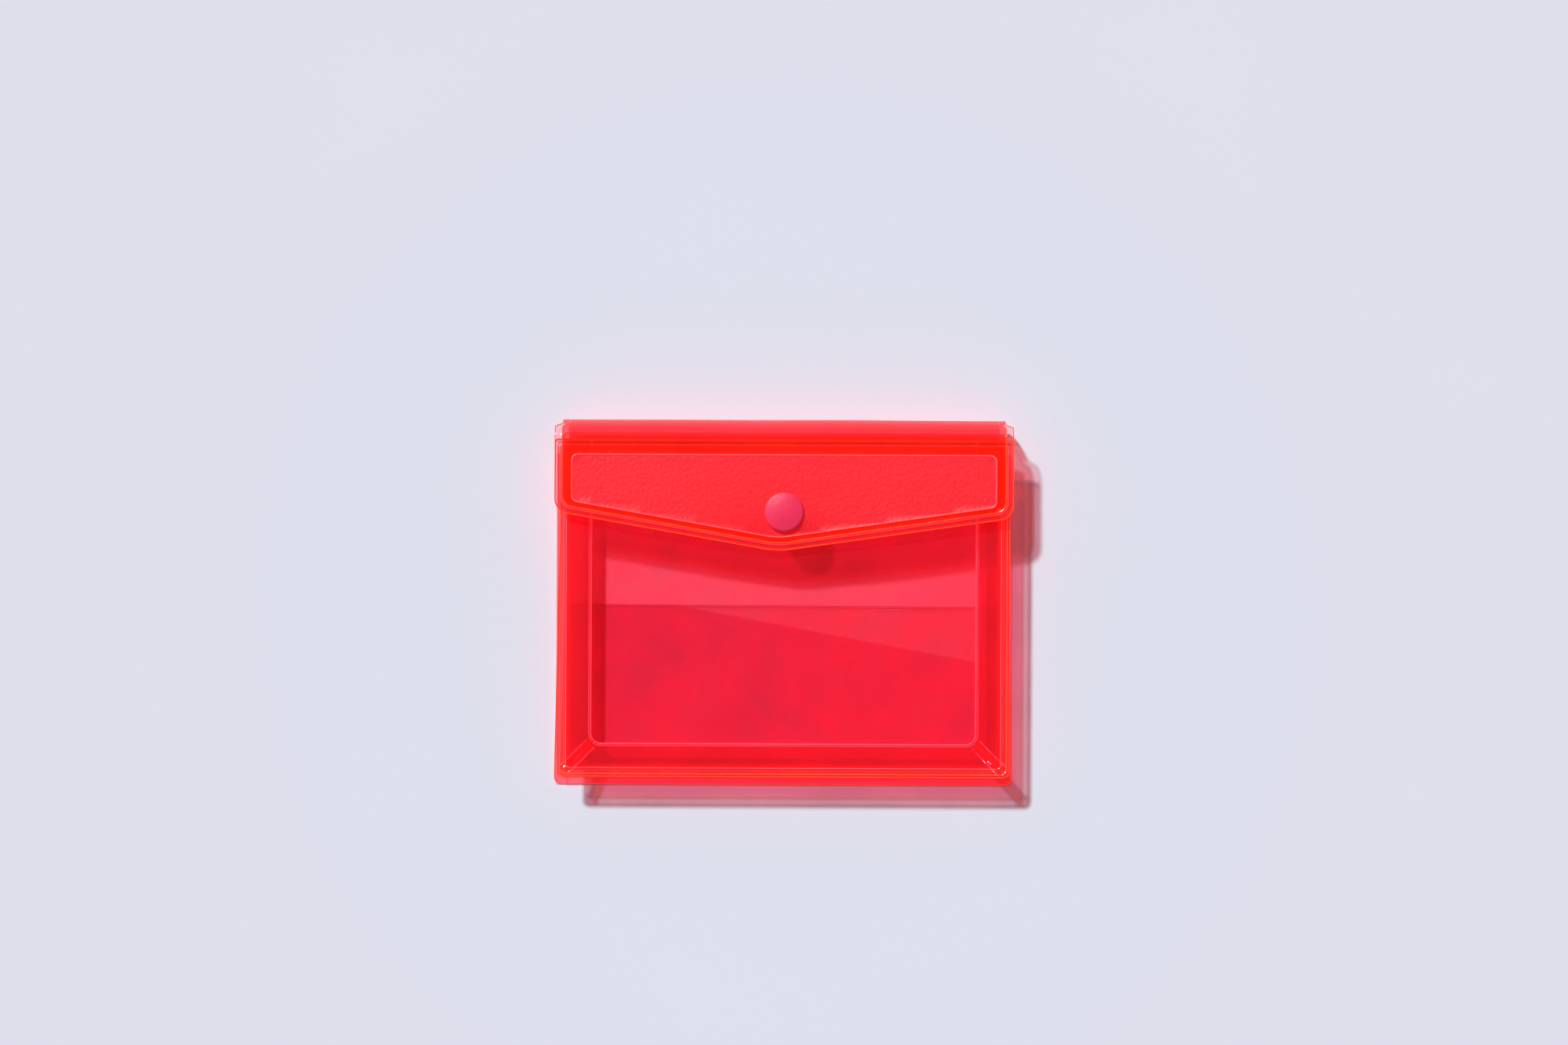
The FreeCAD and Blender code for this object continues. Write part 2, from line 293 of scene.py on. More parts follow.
# Fused bands; on the gusset leaves beside the hinges this finish is a painted highlight
WELDED_AND_PAINTED_HIGHLIGHT = vinyl(
    "welded_band_painted_highlight_vinyl", per_face(1.05, 0.36, 0.36), body=(1.35, 0.05, 0.010), milk=0.10, milk_spread=0.25,
    painted_glow=(1.0, 0.03, 0.004), painted_glow_strength=0.6, gloss_rough=0.16, ripple=0.3, ripple_scale=500.0)
# Raised weld bead: the ridge is real, its bright orange colour a painted highlight
BEAD_WITH_PAINTED_HIGHLIGHT = vinyl(
    "weld_bead_painted_highlight_vinyl", per_face(1.0, 0.35, 0.28), body=(1.35, 0.16, 0.07), milk=0.35, milk_spread=0.2,
    painted_glow=(1.0, 0.08, 0.02), painted_glow_strength=0.5, gloss_rough=0.12, ripple=0.2, ripple_scale=500.0)
# Light lines on ridges, seams and edges: their lightness is a painted highlight
LINE_WITH_PAINTED_HIGHLIGHT = vinyl(
    "light_line_painted_highlight_vinyl", per_face(1.0, 0.50, 0.55), body=(1.25, 0.30, 0.36), milk=0.40, milk_spread=0.2,
    painted_glow=(1.0, 0.10, 0.12), painted_glow_strength=0.4, gloss_rough=0.12, ripple=0.2, ripple_scale=500.0)
# Ribs at the gusset's inner fold, coloured light: a painted highlight
FOLD_RIB_PAINTED_HIGHLIGHT = vinyl(
    "fold_rib_painted_highlight_vinyl", per_face(1.0, 0.50, 0.50), body=(1.25, 0.45, 0.48), milk=0.45, milk_spread=0.2,
    painted_glow=(1.0, 0.14, 0.16), painted_glow_strength=0.5, gloss_rough=0.10, ripple=0.2, ripple_scale=500.0)
# Dark lines at and just inside cut edges: painted shade
DARK_LINE_PAINTED_SHADE = vinyl(
    "dark_line_painted_shade_vinyl", per_face(0.62, 0.20, 0.40), body=(0.8, 0.02, 0.08), milk=0.08, milk_spread=0.2,
    painted_glow=(1.0, 0.02, 0.05), painted_glow_strength=0.2, gloss_rough=0.2, ripple=0.2, ripple_scale=500.0)
ROUND_FOLD = vinyl(
    "rounded_spine_vinyl", per_face(1.0, 0.26, 0.30), body=(1.1, 0.05, 0.055), milk=0.12, milk_spread=0.2,
    painted_glow=(1.0, 0.02, 0.02), painted_glow_strength=0.5, gloss_rough=0.2, ripple=0.1, ripple_scale=90.0, gloss=0.02)
# Cut edges in bright orange that shine: painted light
CUT_EDGE_PAINTED_GLOW = vinyl(
    "cut_edge_painted_glow", per_face(0.95, 0.28, 0.15), body=(1.35, 0.15, 0.05), milk=0.45, milk_spread=0.2,
    painted_glow=(1.0, 0.09, 0.01), painted_glow_strength=0.6, gloss_rough=0.2, ripple=0.2, ripple_scale=500.0)
SNAP_PINK = moulded_plastic("pink_snap_plastic", (0.96, 0.034, 0.110), painted_glow=(1.0, 0.03, 0.10),
                            painted_glow_strength=0.10, grain_strength=0.9)

# Finishes of each kind of sheet, in the order of the slots
CLEAR_SHEET = [CLEAR, THINNED, WELDED_AND_PAINTED_HIGHLIGHT, BEAD_WITH_PAINTED_HIGHLIGHT, LINE_WITH_PAINTED_HIGHLIGHT, DARK_LINE_PAINTED_SHADE, ROUND_FOLD, CUT_EDGE_PAINTED_GLOW]
BACK_SHEET = [BACK_CLEAR] + CLEAR_SHEET[1:]
FLAP_SHEET = [SATIN] + CLEAR_SHEET[1:]
POCKET_SHEET = [POCKET_FILM, POCKET_CLING] + CLEAR_SHEET[2:6] + [DARK_LINE_PAINTED_SHADE, DARK_LINE_PAINTED_SHADE]
GUSSET_STRIP = [GUSSET, THINNED, WELDED_AND_PAINTED_HIGHLIGHT, FOLD_RIB_PAINTED_HIGHLIGHT, LINE_WITH_PAINTED_HIGHLIGHT, DARK_LINE_PAINTED_SHADE, GUSSET, LINE_WITH_PAINTED_HIGHLIGHT]


# ---------------------------------------------------------------- mesh helpers

def smooth(value, start, end):
    """0 before start, 1 after end, and a smooth step between them."""
    t = min(max((value - start) / (end - start), 0.0), 1.0)
    return t * t * (3 - 2 * t)


def hump(offset, reach):
    """A bell of height 1 that has faded away at about twice its reach."""
    return math.exp(-((offset / reach) ** 2))


def wander(x, y, size, seed):
    """Smooth unevenness from about -1 to 1, with waves of about the given size."""
    return noise.noise(Vector((x / size, y / size, seed)))


def inset_outline(corners, gaps):
    """Moves each edge of an outline inwards by its own gap. Edge i runs from corner i to the next one."""
    points = [Vector(corner) for corner in corners]
    moved = []
    for i, point in enumerate(points):
        before = (point - points[i - 1]).normalized()
        after = (points[(i + 1) % len(points)] - point).normalized()
        across_before = Vector((-before.y, before.x))
        across_after = Vector((-after.y, after.x))
        turn = across_before.x * across_after.y - across_before.y * across_after.x
        gap_before, gap_after = gaps[i - 1], gaps[i]
        shift_x = (gap_before * across_after.y - gap_after * across_before.y) / turn
        shift_y = (gap_after * across_before.x - gap_before * across_after.x) / turn
        moved.append(point + Vector((shift_x, shift_y)))
    return moved


def rounded_face(bm, corners, radii, height):
    """A flat face through the corners, each rounded to its radius."""
    known = set(bm.faces)
    points = [Vector(corner) for corner in corners]
    verts = [bm.verts.new((*point, height)) for point in points]
    bm.faces.new(verts)
    for i, vert in enumerate(verts):
        back = points[i - 1] - points[i]
        ahead = points[(i + 1) % len(points)] - points[i]
        reach = radii[i] / math.tan(back.angle(ahead) / 2)
        bmesh.ops.bevel(bm, geom=[vert], offset=reach, offset_type="OFFSET", affect="VERTICES",
                        segments=CORNER_STEPS, profile=0.5, material=-1)
    return next(face for face in bm.faces if face not in known)


def cut_all(bm, point, direction, clear_beyond=False):
    """Cuts the whole mesh with a plane and, if asked, removes what lies beyond it."""
    geometry = bm.verts[:] + bm.edges[:] + bm.faces[:]
    bmesh.ops.bisect_plane(bm, geom=geometry, dist=1e-7, plane_co=point, plane_no=direction,
                           clear_outer=clear_beyond)


def slice_evenly(bm, spacing):
    """Cuts a flat sheet into a grid, so that it can bend."""
    for axis in (0, 1):
        low = min(vert.co[axis] for vert in bm.verts)
        high = max(vert.co[axis] for vert in bm.verts)
        count = max(1, round((high - low) / spacing))
        direction = Vector((1, 0, 0)) if axis == 0 else Vector((0, 1, 0))
        for i in range(1, count):
            place = low + (high - low) * i / count
            cut_all(bm, direction * place, direction)


def fine_cuts(bm, half, x_count, y_start, y_count, y_sense):
    """Extra cuts in from both sides of a sheet, and up or down from one line, so that it can crumple."""
    for i in range(1, x_count):
        for sign in (-1, 1):
            cut_all(bm, Vector((sign * (half - i * FINE_SLICE), 0, 0)), Vector((1, 0, 0)))
    for i in range(1, y_count):
        cut_all(bm, Vector((0, y_start + y_sense * i * FINE_SLICE, 0)), Vector((0, 1, 0)))


def face_all(bm, upwards):
    """Turns an open sheet's faces so that they look up, or down."""
    bm.normal_update()
    looks_up = sum(face.normal.z * face.calc_area() for face in bm.faces) > 0
    if looks_up != upwards:
        bmesh.ops.reverse_faces(bm, faces=bm.faces)


def fit_border(face, places):
    """Moves a face's corners on to a loop of places, paired so that the corners travel least."""
    verts = list(face.verts)
    count = len(verts)

    def travel(turn):
        return sum((vert.co - places[(i + turn) % count]).length_squared for i, vert in enumerate(verts))

    best = min(range(count), key=travel)
    for i, vert in enumerate(verts):
        vert.co = places[(i + best) % count]


def welded_sheet(corners, radii, rings, height, side=1):
    """A flat sheet with concentric weld rings, worked from the outline inwards.

    Each ring is (gap or gaps from the outline, cut in radius or its own radii, rise, finish up to the
    next ring). side is 1 where a rise goes up and -1 where it goes down.
    """
    smallest_radius = 0.5 * MM
    bm = bmesh.new()
    field = None
    for gaps, shrink, rise, finish in rings:
        if not isinstance(gaps, list):
            gaps = [gaps] * len(corners)
        if not isinstance(shrink, list):
            shrink = [max(radius - shrink, smallest_radius) for radius in radii]
        face = rounded_face(bm, inset_outline(corners, gaps), shrink, height + side * rise)
        if field is None:
            field = face
        else:
            places = [vert.co.copy() for vert in face.verts]
            bmesh.ops.delete(bm, geom=[face], context="FACES")
            bmesh.ops.inset_individual(bm, faces=[field], thickness=HAIR)
            fit_border(field, places)
        field.material_index = finish
    return bm


def shape_sheet(bm, form):
    """Raises each point of a sheet by form(x, y)."""
    for vert in bm.verts:
        vert.co.z += form(vert.co.x, vert.co.y)


def top_border(bm, y):
    """The border edges that lie on the line at this y."""
    return [edge for edge in bm.edges
            if edge.is_boundary and all(abs(vert.co.y - y) < HAIR for vert in edge.verts)]


def extrude_along(bm, edges, steps):
    """Pulls border edges out step by step. Beads and margins run on; all else takes the folded finish."""
    for step in steps:
        finishes = {}
        for edge in edges:
            middle = (edge.verts[0].co.x + edge.verts[1].co.x) / 2
            finishes[round(middle / HAIR)] = edge.link_faces[0].material_index
        made = bmesh.ops.extrude_edge_only(bm, edges=edges)["geom"]
        verts = [item for item in made if isinstance(item, bmesh.types.BMVert)]
        edges = [item for item in made if isinstance(item, bmesh.types.BMEdge)]
        bmesh.ops.translate(bm, verts=verts, vec=step)
        for edge in edges:
            middle = (edge.verts[0].co.x + edge.verts[1].co.x) / 2
            finish = finishes[round(middle / HAIR)]
            edge.link_faces[0].material_index = FOLDED if finish in (FIELD, FUSED_BAND_AND_PAINTED_HIGHLIGHT) else finish


def finished(bm, name, materials, thickness):
    """Makes a mesh an object whose place is in its mesh, and gives a sheet its thickness."""
    bmesh.ops.remove_doubles(bm, verts=bm.verts, dist=1e-6)
    mesh = bpy.data.meshes.new(name)
    bm.to_mesh(mesh)
    bm.free()
    piece = bpy.data.objects.new(name, mesh)
    bpy.context.scene.collection.objects.link(piece)
    for material in materials:
        mesh.materials.append(material)
    if thickness:
        wall = piece.modifiers.new("thickness", "SOLIDIFY")
        wall.thickness = thickness
        wall.offset = -1
        wall.use_even_offset = False
        wall.material_offset_rim = EDGE
        bpy.context.view_layer.update()
        solid = bpy.data.meshes.new_from_object(piece.evaluated_get(bpy.context.evaluated_depsgraph_get()))
        piece.modifiers.clear()
        piece.data = solid
        solid.name = name
        bpy.data.meshes.remove(mesh)
    piece.data.shade_smooth()
    return piece


def crisp_rim(piece, angle=50):
    """Keeps the edges that turn by more than this many degrees crisp, while the faces stay smooth."""
    piece.data.set_sharp_from_angle(angle=math.radians(angle))


# ---------------------------------------------------------------- the long sheet: back, spine and flap

def spine_bulge(x, y):
    """How far the rounded top leans out of true along its length."""
    depth = smooth(y, ROUND_START_Y, SPINE_HIGH.y)
    return depth * (0.25 * wander(x, 0, 45 * MM, 3.1) + 0.1) * MM


def meet_at_spine(bm):
    """Leans the rounded top a little and draws both halves of it to one width at the middle of the spine."""
    fold_half = max(vert.co.x for vert in bm.verts if abs(vert.co.y - ROUND_START_Y) < HAIR)
    for vert in bm.verts:
        depth = smooth(vert.co.y, SHOULDER_LOW_Y, SHOULDER_HIGH_Y)
        vert.co.y += spine_bulge(vert.co.x, vert.co.y)
        vert.co.x *= 1 + (SPINE_HALF_WIDTH / fold_half - 1) * depth
    for face in bm.faces:
        if face.material_index == MARGIN and face.calc_center_median().y > SHOULDER_HIGH_Y:
            face.material_index = FOLDED


def quarter_round(upper):
    """Steps from the flat of the sheet to the middle of the spine."""
    angles = [math.pi / 2 * i / ROUND_STEPS for i in range(ROUND_STEPS + 1)]
    outline = [Vector((0, ROUND_REACH * math.sin(a), MID_SPINE_Z * (1 - math.cos(a)))) for a in angles]
    sign = -1 if upper else 1
    return [Vector((0, b.y - a.y, sign * (b.z - a.z))) for a, b in zip(outline, outline[1:])]


def weld_rings(bead, inner):
    """Rings of a welded margin: rounded lip, thinned margin, raised bead, then what lies inside it. The lip
    takes the cut edge's painted light and the bead a painted highlight.
    """
    return [
        (0.0, 0.0, -LIP_DROP, EDGE),
        (LIP, LIP / 2, 0.0, MARGIN),
        (bead - BEAD_HALF, bead / 2, 0.0, BEAD),
        (bead, bead / 2, BEAD_RISE, BEAD),
        (bead + BEAD_HALF, bead / 2, 0.0, inner),
    ]


def make_back_sheet():
    """Back panel, running on over the top as the lower half of the spine."""
    low_half, high_half = 73.4 * MM, 70.6 * MM
    y0, y1 = BACK_LOW.y, ROUND_START_Y + PAST_CUT
    corners = [(-low_half, y0), (low_half, y0), (high_half, y1), (-high_half, y1)]
    rings = weld_rings(bead=2.3 * MM, inner=FIELD)
    bm = welded_sheet(corners, [2.3 * MM] * 4, rings, BACK_LOW.z + LIP_DROP, side=-1)
    cut_all(bm, Vector((0, ROUND_START_Y, 0)), Vector((0, 1, 0)), clear_beyond=True)
    slice_evenly(bm, SLICE)
    face_all(bm, upwards=False)
    extrude_along(bm, top_border(bm, ROUND_START_Y), quarter_round(upper=False))
    meet_at_spine(bm)
    back = finished(bm, "back_sheet", BACK_SHEET, SHEET - LIP_DROP)
    crisp_rim(back)
    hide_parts("back_panel", "spine_panel")
    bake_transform(back)


def flap_form(x, y):
    """The flap stands higher at its sides and by the fold, and its point is drawn down past the snap."""
    off_middle = 1 - hump(x, 30 * MM)
    by_fold = smooth(y, 30 * MM, 50 * MM)
    lift = 0.2 * MM * off_middle * (1 - by_fold) + (FLAP_TOP_AT_FOLD - FLAP_HIGH.z) * by_fold
    droop = 1.5 * MM * hump(x, 17 * MM) * hump(y - FLAP_LOW.y, 7 * MM)
    uneven = 0.08 * MM * wander(x, y, 28 * MM, 7.7) * (1 - by_fold)
    return lift - droop + uneven


def fold_end_crumple(x, y):
    """Small dents in the flap's margin just below the fold."""
    dent = 0.32 * MM
    below_fold = ROUND_START_Y - y
    near_edge = smooth(abs(x), FLAP_HIGH.x - 3.6 * MM, FLAP_HIGH.x - 2.4 * MM)
    near_fold = (1 - smooth(below_fold, 2.5 * MM, 4.5 * MM)) * smooth(below_fold, 0, 0.5 * MM)
    return dent * near_edge * near_fold * wander(x, y, 1.0 * MM, 31)


def flap_outline(top_y, trim=0.0):
    """Corners of the flap, from its point, and their radii."""
    half = FLAP_HIGH.x - trim
    point = Vector((FLAP_POINT_X, FLAP_POINT_Y + trim / math.cos(V_ANGLE)))
    left_y = point.y + (half + point.x) * LEFT_V_SLOPE
    right_y = point.y + (half - point.x) * RIGHT_V_SLOPE
    corners = [point, (half, right_y), (half, top_y), (-half, top_y), (-half, left_y)]
    radii = [FLAP_POINT_RADIUS, FLAP_CORNER_RADIUS, 1 * MM, 1 * MM, FLAP_CORNER_RADIUS]
    return corners, radii


def window_rings(top_gap, dip):
    """The rounded line where the two sheets of the flap part, nearer the V edge than the sides: a small ridge
    with a painted highlight.
    """
    radii = [20 * MM, 2 * MM, 2 * MM, 2 * MM, 2 * MM]
    rings = []
    for grow, rise, finish in ((0.0, 0.0, LINE), (0.14, 0.08 * MM, LINE), (0.28, dip, FIELD)):
        v_gap, side_gap = (4.1 + grow) * MM, (5.3 + grow) * MM
        gaps = [v_gap, side_gap, top_gap + grow * MM, side_gap, v_gap]
        rings.append((gaps, radii, rise, finish))
    return rings


def make_flap_sheet():
    """Outer sheet of the flap with the upper half of the spine."""
    corners, radii = flap_outline(ROUND_START_Y + PAST_CUT)
    top_gap = PAST_CUT + ROUND_START_Y - WINDOW_TOP_Y
    rings = weld_rings(bead=2.4 * MM, inner=FUSED_BAND_AND_PAINTED_HIGHLIGHT) + window_rings(top_gap, dip=0.0)
    bm = welded_sheet(corners, radii, rings, FLAP_HIGH.z)
    cut_all(bm, Vector((0, ROUND_START_Y, 0)), Vector((0, 1, 0)), clear_beyond=True)
    slice_evenly(bm, SLICE)
    face_all(bm, upwards=True)
    fine_cuts(bm, FLAP_HIGH.x, x_count=9, y_start=ROUND_START_Y, y_count=10, y_sense=-1)
    shape_sheet(bm, flap_form)
    shape_sheet(bm, fold_end_crumple)
    extrude_along(bm, top_border(bm, ROUND_START_Y), quarter_round(upper=True))
    meet_at_spine(bm)
    flap = finished(bm, "flap_sheet", FLAP_SHEET, SHEET - AIR)
    crisp_rim(flap)
    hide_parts("flap_outer_sheet")
    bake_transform(flap)


def make_flap_lining():
    """Inner sheet of the flap, welded to it round the edge and free of it in the window."""
    corners, radii = flap_outline(LINING_HIGH.y, trim=0.15 * MM)
    rings = []
    # Lining rings: cut edge in painted light, a dark line of painted shade, and a light line with a painted
    # highlight
    for side_gap, own_top, rise, finish in (
            (0.0, 0.0, -0.10, EDGE), (0.15, 0.65, 0.0, MARGIN), (1.0, 1.0, 0.0, DARK),
            (1.15, 1.45, 0.0, MARGIN), (1.6, 1.9, 0.08, LINE), (1.8, 2.05, 0.0, FUSED_BAND_AND_PAINTED_HIGHLIGHT)):
        gaps = [side_gap * MM, side_gap * MM, own_top * MM, side_gap * MM, side_gap * MM]
        rings.append((gaps, side_gap / 2 * MM, rise * MM, finish))
    for gaps, own_radii, rise, finish in window_rings(LINING_HIGH.y - WINDOW_TOP_Y, dip=-0.25 * MM):
        rings.append((gaps, own_radii, min(rise, 0.0), finish))
    bm = welded_sheet(corners, radii, rings, LINING_HIGH.z)
    slice_evenly(bm, SLICE)
    face_all(bm, upwards=True)
    shape_sheet(bm, flap_form)
    lining = finished(bm, "flap_lining_sheet", FLAP_SHEET, FILM)
    crisp_rim(lining)
    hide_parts("flap_lining")
    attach(lining, "flap")


# ---------------------------------------------------------------- front sheet and slip pocket

def front_form(x, y):
    """The front sags a little between its welded sides and is held level by the snap."""
    middle = smooth(FRONT_HIGH.x - abs(x), 2 * MM, 25 * MM) * smooth(y - FRONT_LOW.y, 2 * MM, 30 * MM)
    by_snap = hump(x, 8 * MM) * hump(y - SNAP_Y, 8 * MM)
    sag = -0.9 * MM * middle * (1 - smooth(y, 0, 30 * MM))
    uneven = 0.22 * MM * wander(x, y, 30 * MM, 1.3) * middle * (1 - by_snap)
    return sag + uneven


def corner_crumple(x, y):
    """Small dents in the welded margin where it turns the bottom corners, mostly on the left."""
    amount = 0.45 * MM if x < 0 else 0.25 * MM
    near_edge = smooth(abs(x), FRONT_HIGH.x - 3.4 * MM, FRONT_HIGH.x - 2.0 * MM)
    near_corner = 1 - smooth(y - FRONT_LOW.y, 6 * MM, 9.5 * MM)
    return amount * near_edge * near_corner * wander(x, y, 1.1 * MM, 24)


def mouth_shift(x, y):
    """The free top edge of the front bows down in the middle and up beside it."""
    near_mouth = smooth(y, 34 * MM, FRONT_HIGH.y)
    return near_mouth * (1.2 * hump(x - 54 * MM, 22 * MM) - 2.2 * hump(x - 12 * MM, 34 * MM)) * MM


def make_front_sheet():
    """Front panel, welded to the gusset on three sides and free along the mouth."""
    half = FRONT_HIGH.x
    y0, y1 = FRONT_LOW.y, FRONT_HIGH.y + PAST_CUT
    corners = [(-half, y0), (half, y0), (half, y1), (-half, y1)]
    rings = weld_rings(bead=0.95 * MM, inner=MARGIN)
    # Double light line of the window outline: small ridges with a painted highlight
    for gap, rise, finish in ((2.75, 0.0, LINE), (2.83, 0.06, LINE), (2.91, 0.0, FIELD)):
        rings.append((gap * MM, 1 * MM, rise * MM, finish))
    bm = welded_sheet(corners, [2.2 * MM] * 4, rings, FRONT_HIGH.z)
    cut_all(bm, Vector((0, FRONT_HIGH.y, 0)), Vector((0, 1, 0)), clear_beyond=True)
    slice_evenly(bm, SLICE)
    face_all(bm, upwards=True)
    fine_cuts(bm, half, x_count=8, y_start=y0, y_count=22, y_sense=1)
    shape_sheet(bm, front_form)
    shape_sheet(bm, corner_crumple)
    for vert in bm.verts:
        vert.co.y += mouth_shift(vert.co.x, vert.co.y)
    front = finished(bm, "front_sheet", CLEAR_SHEET, SHEET - AIR)
    crisp_rim(front)
    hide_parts("front_panel")
    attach(front, "front")


def make_slip_pocket():
    """Half-height inner sheet. Its mouth has a dark line of painted shade just below the cut edge."""
    half = POCKET_HIGH.x
    y0, y1 = POCKET_LOW.y, POCKET_HIGH.y
    corners = [(-half, y0), (half, y0), (half, y1), (-half, y1)]
    rings = []
    for side_gap, mouth_gap, rise, finish in (
            (0.0, 0.0, 0.0, EDGE), (0.15, 0.16, 0.0, FIELD), (0.8, 0.70, 0.0, DARK), (0.9, 0.78, 0.04, DARK),
            (1.0, 0.86, 0.0, FIELD)):
        gaps = [side_gap * MM, side_gap * MM, mouth_gap * MM, side_gap * MM]
        rings.append((gaps, side_gap / 3 * MM, rise * MM, finish))
    bm = welded_sheet(corners, [0.6 * MM] * 4, rings, POCKET_HIGH.z)
    slice_evenly(bm, SLICE)
    cut_all(bm, CLING_POINT, CLING_DOWNWARDS)
    for face in bm.faces:
        below = (face.calc_center_median() - CLING_POINT).dot(CLING_DOWNWARDS) > 0
        if face.material_index == FIELD and below:
            face.material_index = CLINGING
    face_all(bm, upwards=True)
    left_up, slant, lift = 0.3 * MM, 0.55 * MM, 0.12 * MM
    for vert in bm.verts:
        reach = smooth(vert.co.y, y0, y1)
        vert.co.y += reach * (left_up - slant * (vert.co.x / half + 1) / 2)
        vert.co.z += lift * reach * abs(wander(vert.co.x, vert.co.y, 30 * MM, 5.5))
    pocket = finished(bm, "slip_pocket_sheet", POCKET_SHEET, POCKET_HIGH.z - POCKET_LOW.z - 2 * AIR)
    crisp_rim(pocket)
    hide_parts("slip_pocket")
    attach(pocket, "back")


# ---------------------------------------------------------------- gusset

def on_left(along, inward, z):
    """A place on the left strip, by how far it is along the hinge line and inwards from it."""
    return Vector((-LOWER_HINGE.x + inward, along, z))


def on_right(along, inward, z):
    """A place on the right strip."""
    return Vector((LOWER_HINGE.x - inward, along, z))


def on_bottom(along, inward, z):
    """A place on the bottom strip."""
    return Vector((along, BOTTOM_HINGE_Y + inward, z))


def strip_grid(rows, columns):
    """A unit grid for a strip: x runs along the strip and y across it, both from 0 to 1."""
    bm = bmesh.new()
    bmesh.ops.create_grid(bm, x_segments=columns, y_segments=rows, size=0.5)
    bmesh.ops.translate(bm, verts=bm.verts, vec=Vector((0.5, 0.5, 0)))
    return bm


def closer_at_ends(share):
    """Spreads evenly spaced shares so that they lie closer together near 0 and 1."""
    return share - 0.75 * math.sin(2 * math.pi * share) / (2 * math.pi)


def corner_fill(from_corner):
    """How far the inner fold reaches in as it rounds the corner of the window."""
    if from_corner >= FOLD_CORNER_RADIUS:
        return 0.0
    left = FOLD_CORNER_RADIUS - max(from_corner, 0.0)
    return FOLD_CORNER_RADIUS - math.sqrt(FOLD_CORNER_RADIUS ** 2 - left ** 2)


def mitre(bm, place, end, sense):
    """Cuts a leaf along the diagonal on which it meets the next strip."""
    corner = place(end, 0.0, 0.0)
    inner = place(end + sense * LEAF_RUN, LEAF_RUN, 0.0)
    gap = (place(end + sense, 0, 0) - place(end, 0, 0)).normalized() * MITRE_GAP
    line = (inner - corner).normalized()
    across = Vector((line.y, -line.x, 0))
    if across.dot(gap) > 0:
        across = -across
    cut_all(bm, corner + gap, across, clear_beyond=True)


def leaf_finish(out, length):
    """Ribs along the inner fold, coloured light as painted highlights, and a painted highlight on the stretch
    beside the hinge.
    """
    from_fold = length - out
    if from_fold < 0.25 * MM:
        return BEAD
    if abs(from_fold - SECOND_RIB) < 0.12 * MM:
        return LINE
    return FUSED_BAND_AND_PAINTED_HIGHLIGHT if out < HINGE_PAINTED_HIGHLIGHT else FIELD


def make_leaf(name, place, ends, mitred, lower, body, seed):
    """One leaf of the bellows, from its hinge in to the fold, with a double rib along the fold."""
    length = LEAF_LENGTH - 0.12 * MM
    bm = strip_grid(rows=44, columns=90)
    start_z = LOWER_HINGE.z if lower else UPPER_HINGE.z
    turn = 1 if lower else -1
    lean = math.atan2(HALF_RISE, LEAF_RUN)
    for vert in bm.verts:
        along = ends[0] + (ends[1] - ends[0]) * closer_at_ends(vert.co.x)
        out = length * vert.co.y
        free = math.sin(math.pi * vert.co.y)
        fill = max(corner_fill(along - ends[0] - LEAF_RUN) if mitred[0] else 0,
                   corner_fill(ends[1] - LEAF_RUN - along) if mitred[1] else 0) * vert.co.y ** 4
        near_end = max(hump(along - ends[0], 9 * MM) if mitred[0] else 0,
                       hump(along - ends[1], 9 * MM) if mitred[1] else 0)
        billow = 0.2 * MM * free * (0.6 + wander(along, out, 26 * MM, seed))
        crumple = 0.34 * MM * free * near_end * wander(along, out, 2.0 * MM, seed + 9)
        ribs = 0.14 * MM * hump(out - (length - EDGE_RIB), 0.3 * MM)
        ribs += 0.12 * MM * hump(out - (length - SECOND_RIB), 0.22 * MM)
        rise = billow + crumple + ribs
        inward = out * math.cos(lean) - rise * math.sin(lean) * 0.6 + fill
        height = start_z + turn * (out * math.sin(lean) - rise * math.cos(lean))
        vert.co = place(along, inward, height)
    for face in bm.faces:
        out = abs(face.calc_center_median().z - start_z) / math.sin(lean)
        face.material_index = leaf_finish(out, length)
    for end, meets, sense in ((ends[0], mitred[0], 1), (ends[1], mitred[1], -1)):
        if meets:
            mitre(bm, place, end, sense)
    face_all(bm, upwards=lower)
    leaf = finished(bm, name, GUSSET_STRIP, FILM * 0.8)
    crisp_rim(leaf)
    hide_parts(name.replace("_sheet", ""))
    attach(leaf, body)


def make_flange(name, place, ends, cad_node, upper, outer, body):
    """Welded margin of a gusset strip: the upper one curls where the leaf leaves it, the lower is grooved."""
    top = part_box(cad_node)[1].z - AIR
    bm = strip_grid(rows=12, columns=int((ends[1] - ends[0]) / (2.5 * MM)))
    for vert in bm.verts:
        along = ends[0] + (ends[1] - ends[0]) * vert.co.x
        inward = -outer + (outer + 0.1 * MM) * vert.co.y
        curl = 0.12 * MM * smooth(vert.co.y, 0.8, 1.0)
        groove = 0.05 * MM * hump(inward + 1.0 * MM, 0.3 * MM)
        vert.co = place(along, inward, top - (curl if upper else groove))
    for face in bm.faces:
        face.material_index = MARGIN
    face_all(bm, upwards=True)
    flange = finished(bm, name, GUSSET_STRIP, FILM - 3 * AIR)
    crisp_rim(flange)
    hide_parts(cad_node)
    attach(flange, body)


